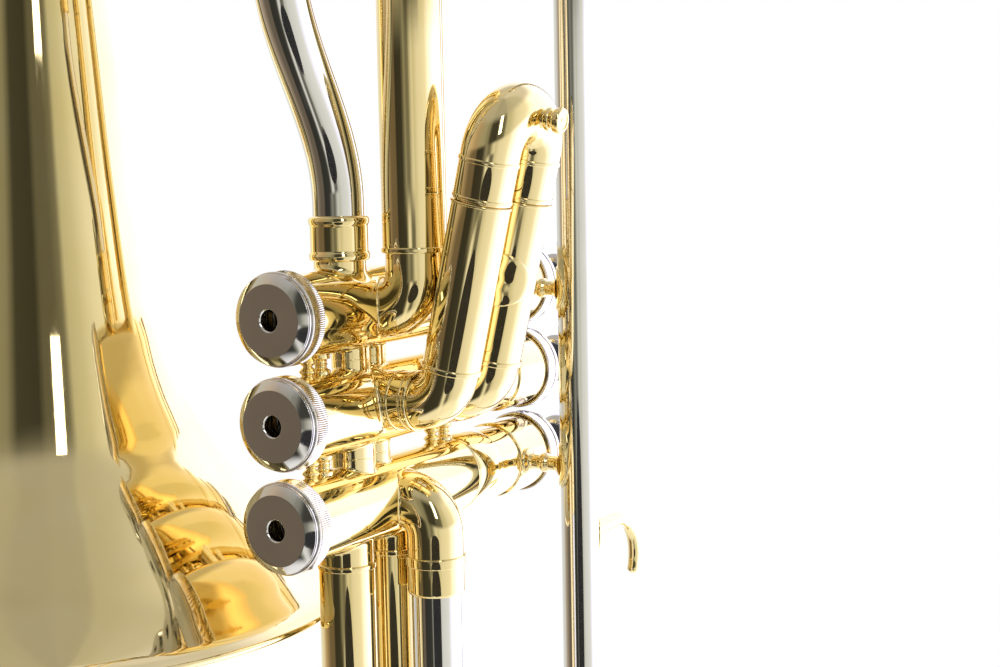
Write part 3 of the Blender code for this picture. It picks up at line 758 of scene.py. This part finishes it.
def return_line():
    """The elbow that leaves the third valve downwards, its ferrule and the return tube."""
    bm = bmesh.new()
    end = spot("return_elbow")[0].z
    path = elbow_path(RETURN_AT.x, RETURN_AT.y, HEIGHTS[3], -1, end + 12)
    tube(bm, path, ELBOW, start_at=3, flare=0.9)
    at = at_height(RETURN_AT)
    outline = [(0, ELBOW - 0.9), (0, ELBOW + 0.1), (11.2, ELBOW + 0.1), (12, ELBOW - 0.3),
               (12, RETURN + 0.05)]
    turn(bm, at + Z * (end + 12), -Z, outline, 72, 0.2)
    band(bm, at + Z * (end + 11), Z, ELBOW + 0.1, 3.4, 0.45)
    stand_in(bm, "return_elbow")
    bm = bmesh.new()
    tube(bm, [at + Z * spot("return_tube")[1].z, at + Z * (BOW_Z + 0.3)], RETURN)
    stand_in(bm, "return_tube", "silver")


def mouthpipe():
    """The long pipe, the receiver at its top and the mouthpiece that stands in it."""
    at = at_height(PIPE_AT)
    bm = bmesh.new()
    tube(bm, [at + Z * (RECEIVER_Z + 4), at + Z * (BOW_Z + 0.3)], PIPE)
    stand_in(bm, "mouthpipe", "silver")
    bm = bmesh.new()
    receiver = [(0, 7.1), (0, 7.9), (1, 8.5), (2.4, 8.9), (3.4, 8.5), (4.4, RECEIVER),
                (25.4, RECEIVER), (26.2, 8.6), (27, RECEIVER), (28, RECEIVER), (29, 8.9), (30, 9.4),
                (32.2, 9.4), (33, 9.0), (33, 7.1)]
    turn(bm, at + Z * RECEIVER_Z, Z, receiver, 72, 0.3)
    stand_in(bm, "mouthpiece_receiver")
    bm = bmesh.new()
    cup = [(0, 3.4), (0, 5.2), (0.6, 5.4), (30, 6.4), (38, 7.0), (46, 8.5), (51, 10.6), (56, 13.2),
           (62, 15.0), (68, 15.8), (72, 16.2), (73.2, 17.2), (74, 18.8), (75.2, 19.4), (77.6, 19.4),
           (79.2, 18.8), (80, 17.2), (80, 16.2), (79.2, 14.2), (77.6, 12.9), (73, 12.3),
           (66, 10.5), (60, 7.4), (56, 4.6), (54, 3.4)]
    turn(bm, at + Z * spot("mouthpiece")[0].z, Z, cup, 96, 0.5)
    stand_in(bm, "mouthpiece", "plate", "mouthpiece")


def front_bow():
    """The bow that joins the mouthpipe to the return tube, with a ferrule on each leg."""
    start, end = at_height(PIPE_AT, BOW_Z), at_height(RETURN_AT, BOW_Z)
    arm, steps = (start - end) / 2, 40
    centre = (start + end) / 2 - Z * 3.95
    axis = Z.cross(arm.normalized())
    path = [start, *bend(centre, arm, axis, pi, steps), end]
    radii = [PIPE + (RETURN - PIPE) * i / (steps + 2) for i in range(steps + 3)]
    bm = bmesh.new()
    tube(bm, path, radii, WALL, 72)
    for top, radius in ((start, PIPE), (end, RETURN)):
        ferrule = [(-8, radius + 0.05), (-8, radius + 0.5), (-7, radius + 0.9), (-5.8, radius + 0.5),
                   (6, radius + 0.5), (7, radius + 0.9), (8, radius + 0.5), (8, radius + 0.05)]
        turn(bm, top, Z, ferrule, 72, 0.3)
    stand_in(bm, "front_bow")
    water_key(centre - Z * arm.length, arm.normalized())


def water_key(bottom, along):
    """The drain nipple, the cork, the sprung lever and the bracket that it turns in."""
    cork, nipple = spot("water_key_cork")[2], spot("water_key_nipple")[2]
    side = Vector((cork.x - nipple.x, cork.y - nipple.y, 0)).normalized()
    surface = (PIPE + RETURN) / 2 + 0.3
    seat_at = surface + 4.3
    bm = bmesh.new()
    outline = [(-1, 1.6), (-1, 5.2), (0, 4.6), (0.8, 3.8), (3, 3.6), (3.7, 3.4), (4, 2.9), (4, 1.6)]
    turn(bm, bottom + side * surface, side, outline, 40, 0.2)
    stand_in(bm, "water_key_nipple")
    bm = bmesh.new()
    seat = [(0, 0), (0, 4.1), (0.4, 4.4), (2.2, 4.4), (2.4, 4.1), (2.4, 0)]
    turn(bm, bottom + side * seat_at, side, seat, 40, 0.3)
    stand_in(bm, "water_key_cork", "cork", "water_key")
    lever(bottom + side * (seat_at + 4.1), along, side)
    fork(bottom + along * PIVOT_ALONG, side, surface, seat_at + 4.1)


def lever(start, along, side):
    """The water key's lever: a disc over the cork, a tapered arm, its hinge and a thumb pad."""
    pivot = start + along * PIVOT_ALONG
    bm = bmesh.new()
    disc = [(0, 0), (0, 4.6), (1, 4.6), (2.2, 2.2), (2.6, 0)]
    turn(bm, start - side * 1.4, side, disc, 40, 0.3)
    path = dense([start - along * 2, pivot, start + along * 24, start + along * 38 + side * 3], 1.5)
    sizes = [1.4 + 0.04 * max(0, (point - pivot).dot(along) - 12) for point in path]
    rod(bm, path, sizes, 20)
    hinge = [(0, 0), (0, 0.7), (3, 0.7), (3.2, 1.9), (7.6, 1.9), (7.8, 0.7), (10.8, 0.7), (10.8, 0)]
    turn(bm, pivot - Z * 5.4, Z, hinge, 32, 0.15)
    pad = [(0, 0), (0, 3.6), (0.9, 4.2), (1.6, 3.4), (1.9, 0)]
    turn(bm, start + along * 35 + side * 2.6, side + along * -0.2, pad, 40, 0.3)
    stand_in(bm, "water_key_lever", body="water_key")


def fork(root, side, surface, line):
    """The bracket on the bow: two drilled ears on short arms that stand on a cross rod."""
    bm = bmesh.new()
    for up in (-3.7, 3.7):
        ear = [(-1.1, 1.0), (-1.1, 2.3), (1.1, 2.3), (1.1, 1.0)]
        turn(bm, root + side * line + Z * up, Z, ear, 32, 0.3)
        arm = [root + side * (line - 2.0) + Z * up, root + side * surface + Z * up]
        rod(bm, dense(arm, 1.5), 1.3, 20)
    low = root + side * (surface + 0.9)
    rod(bm, dense([low - Z * 4.6, low + Z * 4.6], 1.5), 1.5, 20)
    stand_in(bm, "water_key_fork")


# ---- bell section

def eased(stations, steps):
    """A smooth curve through (along, size) stations, with each slope taken from the neighbouring
    stations.
    """
    slopes = []
    for i in range(len(stations)):
        low, high = stations[max(i - 1, 0)], stations[min(i + 1, len(stations) - 1)]
        slopes.append((high[1] - low[1]) / (high[0] - low[0]))
    made = []
    for i in range(len(stations) - 1):
        (a, ra), (b, rb) = stations[i], stations[i + 1]
        span = b - a
        for k in range(steps):
            t = k / steps
            h1, h2 = 2 * t ** 3 - 3 * t * t + 1, -2 * t ** 3 + 3 * t * t
            h3, h4 = t ** 3 - 2 * t * t + t, t ** 3 - t * t
            size = ra * h1 + rb * h2 + span * (slopes[i] * h3 + slopes[i + 1] * h4)
            made.append((a + span * t, size))
    return made + [stations[-1]]


def bell():
    """The flared bell with its rolled rim, and two rings on the sleeve at its tail."""
    outer = eased(FLARE, 8)[4:]
    inner = [(along, radius - WALL) for along, radius in reversed(outer)]
    foot, top = at_height(BELL_AT, RIM_Z), TUNING_Z - RIM_Z
    bm = bmesh.new()
    turn(bm, foot, Z, inner + rim_bead(RIM) + outer, 144, soft_edge=0)
    for along in (top - 60, top - 1.6):
        band(bm, foot + Z * along, Z, BELL_SLEEVE + 0.35, 3.0, 0.4, 96)
    stand_in(bm, "bell")


def rim_bead(rim, wire=1.3, steps=14):
    """The rolled edge of the bell, as points that run from its inner side round to its outer side."""
    points = []
    for k in range(steps + 1):
        angle = radians(150 - 300 * k / steps)
        points.append((0.1 - wire * cos(angle), rim - 1.1 - wire * sin(angle)))
    return points


def neck_line():
    """The neck's port on the first valve, the swaying silver tube and the neckpipe above it."""
    port, top = at_height(NECK_PORT_AT), HEIGHTS[1]
    port.y = 0
    bm = bmesh.new()
    tube(bm, dense([port + Z * (top + 6), port + Z * (top + 20)], 0.6), NECK_PORT, start_at=1, flare=2.0)
    outline = [(15.6, 7.5), (15.6, 8.7), (16.1, 9.5), (17.2, 9.75), (18.2, 9.5), (18.7, 9.2),
               (26.7, 9.2), (27.2, 9.5), (28.2, 9.75), (29.3, 9.5), (29.8, 8.9), (30, S_BEND + 0.05),
               (20, S_BEND + 0.05)]
    turn(bm, port + Z * top, Z, outline, 72, 0.3)
    stand_in(bm, "neck_port")
    s_bend(port)
    at, length = at_height(NECK_AT, NECK_START), TUNING_Z - NECK_START
    bm = bmesh.new()
    neck = [(0, S_BEND + 0.05), (0, 9.4), (1, 10), (length - 0.4, NECK), (length, NECK - 0.4),
            (length, NECK - 0.8), (6, NECK - 0.8), (5, S_BEND + 0.05)]
    turn(bm, at, Z, neck, 72, 0.3)
    for along, width in ((1.6, 2.4), (14, 1.6), (length - 60, 2.4), (length - 1.4, 2.6)):
        band(bm, at + Z * along, Z, NECK, width, 0.5)
    stand_in(bm, "neckpipe")


def s_bend(port, steps=40):
    """The silver tube that sways from the port to the neckpipe's axis."""
    low, high = spot("s_bend")[0].z, spot("s_bend")[1].z
    path = [port + Z * low]
    for i in range(steps + 1):
        share = i / steps
        sway = (1 - cos(pi * share)) / 2
        path.append(Vector((port.x + (NECK_AT.x - port.x) * sway, 0,
                            S_BEND_START + (S_BEND_END - S_BEND_START) * share)))
    path.append(Vector((NECK_AT.x, 0, high)))
    bm = bmesh.new()
    tube(bm, path, S_BEND, WALL, 72)
    stand_in(bm, "s_bend", "silver")


def tuning_slide():
    """The main tuning slide: the wide bow between the neckpipe and the bell's tail."""
    neck, tail = at_height(NECK_AT, TUNING_Z), at_height(BELL_AT, TUNING_Z)
    crook("tuning_slide", neck, tail, Z, (NECK, BELL_SLEEVE), 11.7, 75, steps=64)
    stay("tuning_slide_stay", neck + Z * 8, tail + Z * 8, NECK, BELL_SLEEVE, "tuning_slide")


def stay(node, start, end, start_radius, end_radius, body="body"):
    """A turned brace between two upright tubes, with a wrapped plate at each and a middle bead."""
    bm = bmesh.new()
    way = (end - start).normalized()
    length = (end - start).length - start_radius - end_radius
    middle = length / 2
    half = [(0.1, 0), (0.1, 4.6), (0.6, 4.3), (1.6, 3.0), (3.2, 2.5), (middle - 8, 2.3),
            (middle - 7, 3.0), (middle - 6, 2.3), (middle - 4, 2.6), (middle - 2, 3.3),
            (middle, 3.5)]
    outline = half + [(length - along, radius) for along, radius in reversed(half[:-1])]
    turn(bm, start + way * start_radius, way, outline, 40, 0.3)
    saddle_plate(bm, start, Z, way, start_radius, 6.2, 0.62, 0.6)
    saddle_plate(bm, end, Z, -way, end_radius, 6.2, 6.2 / max(end_radius, 8), 0.6)
    stand_in(bm, node, body=body)


def stays():
    """The long braces between tubes, and the short posts from the casings to the mouthpipe."""
    neck, pipe = at_height(NECK_AT), at_height(PIPE_AT)
    tail, back = at_height(BELL_AT), at_height(RETURN_AT)
    radius_here = [radius for along, radius in eased(FLARE, 8)
                   if along <= spot("bell_stay")[2].z - RIM_Z][-1]
    for name, start, end, radii in (
            ("bell_stay", neck, tail, (NECK, radius_here)),
            ("neck_stay", neck, pipe, (NECK, RECEIVER)),
            ("pipe_stay", pipe, back, (PIPE, RETURN))):
        up = Z * spot(name)[2].z
        stay(name, start + up, end + up, *radii)
    for valve in (1, 3):
        mouthpipe_post(valve)


def mouthpipe_post(valve):
    """A short turned post with a middle bead, and its saddle plate on the mouthpipe."""
    reach = -PIPE_AT.y - PIPE - BALUSTER
    half = reach / 2
    outline = [(-0.4, 0), (-0.4, 5.0), (0.5, 4.6), (1.4, 3.0), (2.6, 2.6), (half - 2, 2.6),
               (half - 1, 3.4), (half, 3.6), (half + 1, 3.4), (half + 2, 2.6), (reach - 2.2, 2.8),
               (reach - 0.8, 4.0), (reach + 0.4, 5.2), (reach + 0.4, 0)]
    bm = bmesh.new()
    turn(bm, (PIPE_AT.x, -BALUSTER, HEIGHTS[valve]), -Y, outline, 48, 0.3)
    saddle_plate(bm, at_height(PIPE_AT, HEIGHTS[valve]), Z, Y, PIPE, 8.2, 1.35, 0.6)
    stand_in(bm, f"mouthpipe_post_{valve}")


def finger_hook():
    """The hook for the little finger, on an oval plate on the mouthpipe."""
    middle = at_height(PIPE_AT, spot("finger_hook")[1].z - 2.4)
    root = middle + X * PIPE
    centre = root + X * HOOK_REACH - Z * HOOK_BEND
    path = dense([root, *bend(centre, Z * HOOK_BEND, Y, radians(115), 30)], 2.0)
    sizes = [HOOK_WIRE + 0.5 * (1 - i / (len(path) - 1)) for i in range(len(path))]
    bm = bmesh.new()
    rod(bm, path, sizes, 28)
    saddle_plate(bm, middle, Z, X, PIPE, 9, 1.1, 0.7)
    stand_in(bm, "finger_hook")


# ---- studio

FLOOR_RADIUS, FLOOR_GAP = 1.4, 0.001


def floor(height):
    """A round sheet of pale paper just below the object."""
    bm = bmesh.new()
    bmesh.ops.create_circle(bm, cap_ends=True, segments=96, radius=FLOOR_RADIUS)
    for vert in bm.verts:
        vert.co += Vector((0, 0, height))
    mesh = to_mesh(bm, "floor")
    sheet = linked("floor", mesh)
    made, tree, shader, place = graph("floor_paper")
    tone = spread(tree, noise(tree, place, 6), 0, 1)
    paper = mixed(tree, tone, (0.93, 0.93, 0.93), (0.915, 0.915, 0.915))
    tree.links.new(paper, shader.inputs["Base Color"])
    fill(shader, {"Roughness": 0.9})
    mesh.materials.append(made)
    sheet.visible_glossy = False
    sheet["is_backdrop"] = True


def lamp(name, place, size, power):
    """A soft square light that faces the object and stays out of its reflections."""
    light = bpy.data.lights.new(name, "AREA")
    light.size, light.energy = size, power
    item = linked(name, light)
    item.location = place
    item.rotation_mode = "QUATERNION"
    item.rotation_quaternion = (-Vector(place)).to_track_quat("-Z", "Y")
    item.visible_glossy = False


def panel(name, place, width, height, colour, glow=0, oval=False):
    """A screen beside the camera, at a place in the block's frame, that only reflections show."""
    bm = bmesh.new()
    if oval:
        bmesh.ops.create_circle(bm, cap_ends=True, segments=64, radius=0.5)
    else:
        bmesh.ops.create_grid(bm, x_segments=1, y_segments=1, size=0.5)
    for vert in bm.verts:
        vert.co = Vector((vert.co.x * width, vert.co.y * height, 0))
    mesh = to_mesh(bm, name)
    made, tree, shader, here = graph(name)
    weave = spread(tree, noise(tree, here, 300), 0, 1)
    cloth = mixed(tree, weave, colour, [0.9 * part for part in colour])
    tree.links.new(cloth, shader.inputs["Base Color"])
    tree.links.new(cloth, shader.inputs["Emission Color"])
    fill(shader, {"Emission Strength": glow, "Roughness": 1})
    mesh.materials.append(made)
    screen = linked(name, mesh)
    centre = ORIGIN + Vector(place) * MM
    screen.location = centre
    screen.rotation_mode = "QUATERNION"
    screen.rotation_quaternion = Vector((-centre.x, -centre.y, 0)).to_track_quat("Z", "Y")
    screen.visible_camera = screen.visible_diffuse = screen.visible_shadow = False
    screen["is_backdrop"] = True


def studio():
    """The floor, two soft lamps, and the dark and the glowing screen that the metal reflects."""
    floor(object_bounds()[0].z - FLOOR_GAP)
    lamp("key_light", (-0.5, -1.2, 1.0), 0.5, 12)
    lamp("top_light", (0.7, 0.2, 1.5), 0.7, 14)
    panel("dark_screen", (-445, -321, -270), 0.38, 0.34, (0.02, 0.02, 0.019), oval=True)
    panel("strip_panel", (-756, -990, 930), 0.2, 1.0, (0.9, 0.9, 0.92), glow=3)


# Brightness of the surround, as (degrees round from +X towards +Y, grey): the part level with
# the camera, the part below it, which differs only at one end, and the part above
LEVEL = [
    (-180, 0.09), (-176, 0.12), (-169, 0.3), (-161, 0.18), (-155, 0.22), (-150, 0.5), (-143, 0.78),
    (-136, 0.66), (-124, 0.84), (-108, 0.9), (-94, 0.98), (-80, 1.4), (-58, 2.1), (-5, 2.0),
    (20, 1.4), (50, 0.95), (92, 0.8), (106, 0.5), (122, 0.3), (134, 0.165), (153, 0.155), (158, 0.04),
    (174, 0.045),
]
LOWER_END = [
    (-180, 0.05), (-173, 0.05), (-168, 0.3), (-163, 0.9), (-158, 0.8), (-152, 0.16), (-143, 0.18),
    (-137, 0.7),
]
LOWER = LOWER_END + [station for station in LEVEL if station[0] > LOWER_END[-1][0]]
HIGHER = [
    (-180, 0.3), (-170, 0.26), (-161, 0.06), (-142, 0.05), (-136, 0.13), (-124, 0.13), (-116, 0.2),
    (-111, 0.56), (-100, 0.64), (-84, 0.85), (-62, 1.0), (-45, 1.6), (-5, 1.8), (25, 1.2), (75, 1.0),
    (98, 0.62), (125, 0.58), (145, 0.42), (172, 0.36),
]
OVERHEAD, BELOW = 0.52, 1.1

# Heights of a direction, from -1 to 1, between which the level part changes into another one
TO_HIGHER, TO_LOWER, TO_OVERHEAD, TO_BELOW = (0.04, 0.17), (-0.14, -0.22), (0.6, 0.82), (-0.76, -0.9)

# The side that the caps face is browner, and the brightest and the dim greys have their own blue
WARM_SIDE, WARM = (104, 156), (1.08, 0.86, 0.64)
DIM, DIM_BLUE, PLAIN_BLUE, BRIGHT, BRIGHT_BLUE = 0.7, 0.84, 0.96, 1.1, 1.25


def tint(degrees, grey):
    """The red, green and blue factors of a grey of the surround."""
    red, green, blue = (1.0, 1.0, DIM_BLUE if grey < DIM else PLAIN_BLUE)
    if WARM_SIDE[0] < degrees < WARM_SIDE[1]:
        red, green, blue = WARM
    if grey > BRIGHT:
        blue = BRIGHT_BLUE
    return red, green, blue


def tones(tree, share, stations):
    """A colour by direction, from (degrees, grey) stations."""
    ramp = tree.nodes.new("ShaderNodeValToRGB")
    stops = ramp.color_ramp.elements
    while len(stops) < len(stations):
        stops.new(0.5)
    for stop, (degrees, grey) in zip(stops, stations):
        stop.position = (degrees + 180) / 360
        stop.color = (*[grey * factor for factor in tint(degrees, grey)], 1)
    tree.links.new(share, ramp.inputs["Fac"])
    return ramp.outputs["Color"]


def climb(tree, height, span, most=1.0):
    """A smooth step with the height of a direction, over a span of heights."""
    step = tree.nodes.new("ShaderNodeMapRange")
    step.interpolation_type = "SMOOTHSTEP"
    fill(step, {"From Min": span[0], "From Max": span[1], "To Max": most})
    tree.links.new(height, step.inputs["Value"])
    return step.outputs["Result"]


def blend_colours(tree, factor, first, second):
    """Mix a linked colour with another one, linked or a plain grey, by a linked factor."""
    made = tree.nodes.new("ShaderNodeMix")
    made.data_type = "RGBA"
    tree.links.new(factor, made.inputs["Factor"])
    tree.links.new(first, made.inputs["A"])
    if isinstance(second, float):
        fill(made, {"B": (second, second, second, 1)})
    else:
        tree.links.new(second, made.inputs["B"])
    return made.outputs["Result"]


def surround():
    """The world: reflections see the tones above; the camera sees plain white."""
    world = bpy.data.worlds.new("surround")
    bpy.context.scene.world = world
    world.use_nodes = True
    tree = world.node_tree
    make, link = tree.nodes.new, tree.links.new
    parts = make("ShaderNodeSeparateXYZ")
    link(make("ShaderNodeTexCoord").outputs["Generated"], parts.inputs[0])
    angle = make("ShaderNodeMath")
    angle.operation = "ARCTAN2"
    link(parts.outputs["Y"], angle.inputs[0])
    link(parts.outputs["X"], angle.inputs[1])
    share = make("ShaderNodeMapRange")
    fill(share, {"From Min": -pi, "From Max": pi})
    link(angle.outputs[0], share.inputs["Value"])
    height = parts.outputs["Z"]
    level, higher, lower = [tones(tree, share.outputs["Result"], part)
                            for part in (LEVEL, HIGHER, LOWER)]
    seen = blend_colours(tree, climb(tree, height, TO_HIGHER), level, higher)
    seen = blend_colours(tree, climb(tree, height, TO_LOWER), seen, lower)
    seen = blend_colours(tree, climb(tree, height, TO_OVERHEAD, 0.8), seen, OVERHEAD)
    seen = blend_colours(tree, climb(tree, height, TO_BELOW, 0.9), seen, BELOW)
    direct = make("ShaderNodeLightPath").outputs["Is Camera Ray"]
    seen = blend_colours(tree, direct, seen, 1.0)
    link(seen, tree.nodes["Background"].inputs["Color"])


CAMERA_PLACE, CAMERA_AHEAD = Vector((-384.3, -305.0, 79.5)), Vector((0.858, 0.5022, -0.1077))
CAMERA_ROLL, CAMERA_LENS, CAMERA_SENSOR = radians(1.13), 58.9, 36


def camera():
    """The camera beside the bottom caps, level with the slides and close to them."""
    data = bpy.data.cameras.new("camera")
    data.lens, data.sensor_width, data.clip_start = CAMERA_LENS, CAMERA_SENSOR, 0.01
    item = linked("camera", data)
    look = CAMERA_AHEAD.to_track_quat("-Z", "Y").to_matrix().to_4x4()
    rolled = Matrix.Rotation(CAMERA_ROLL, 4, CAMERA_AHEAD)
    item.matrix_world = Matrix.Translation(ORIGIN + CAMERA_PLACE * MM) @ rolled @ look
    bpy.context.scene.camera = item


def build():
    """All the pieces, from the valve block outwards."""
    for valve in (1, 2, 3):
        casing(valve)
        bottom_cap(valve)
        top_cap(valve)
        piston(valve)
        button(valve)
        spring(valve)
    between_casings(1, 2, passages=((41.5, 6.2), (53.5, 4.6)), posts=(18.6, 25.4))
    between_casings(2, 3, passages=((41.5, 7.2), (53.5, 5.2)), posts=(18.6, 25.2, 88, 96))
    first_slide()
    second_slide()
    third_slide()
    return_line()
    mouthpipe()
    front_bow()
    bell()
    neck_line()
    tuning_slide()
    stays()
    finger_hook()


build()
studio()
surround()
camera()
bpy.context.scene.view_settings.view_transform = "Standard"
